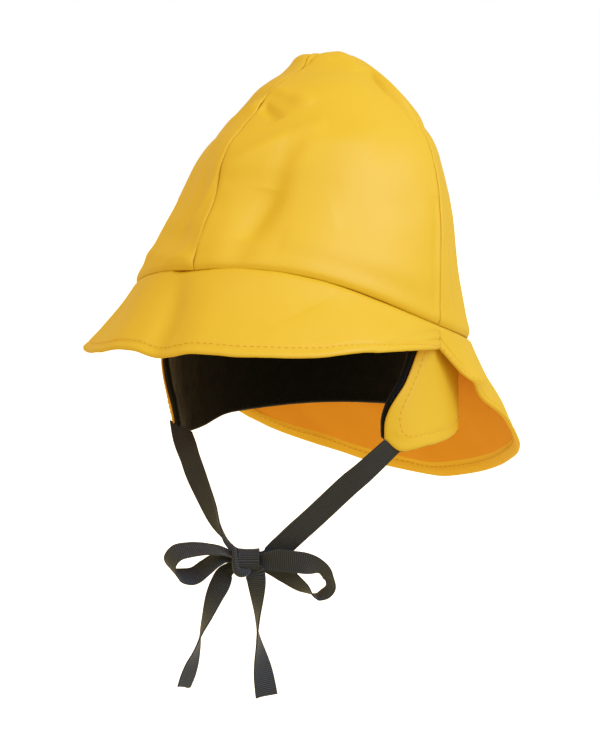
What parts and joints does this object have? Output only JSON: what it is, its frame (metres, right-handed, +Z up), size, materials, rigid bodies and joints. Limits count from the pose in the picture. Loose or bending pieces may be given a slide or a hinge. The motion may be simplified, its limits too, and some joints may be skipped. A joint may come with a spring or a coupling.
{
  "type": "rain hat",
  "caption": "Child's coated rain hat with a short front brim, a long neck flap, a fleece-lined ear band and two ribbons tied in a bow.",
  "frame": {"origin": "middle of the head opening, halfway up the sloping seam between crown and brim, where the hat sits on a head", "axes": "+Z up through the crown, -Y the way the wearer looks, +X to the wearer's left"},
  "size_m": [0.1722, 0.2454, 0.3069],
  "materials": {
    "rain_cloth": "satin",
    "fleece": "matte",
    "ribbon": "matte"
  },
  "bodies": {
    "root": {"crown_front_left": "rain_cloth", "crown_back_left": "rain_cloth", "crown_back_right": "rain_cloth", "crown_front_right": "rain_cloth", "front_brim": "rain_cloth", "neck_flap": "rain_cloth", "ear_band": "rain_cloth", "ear_band_lining": "fleece", "tie_left": "ribbon", "tie_right": "ribbon", "bow_loop_left": "ribbon", "bow_loop_right": "ribbon", "bow_tail_left": "ribbon", "bow_tail_right": "ribbon", "bow_knot": "ribbon"}
  },
  "joints": []
}
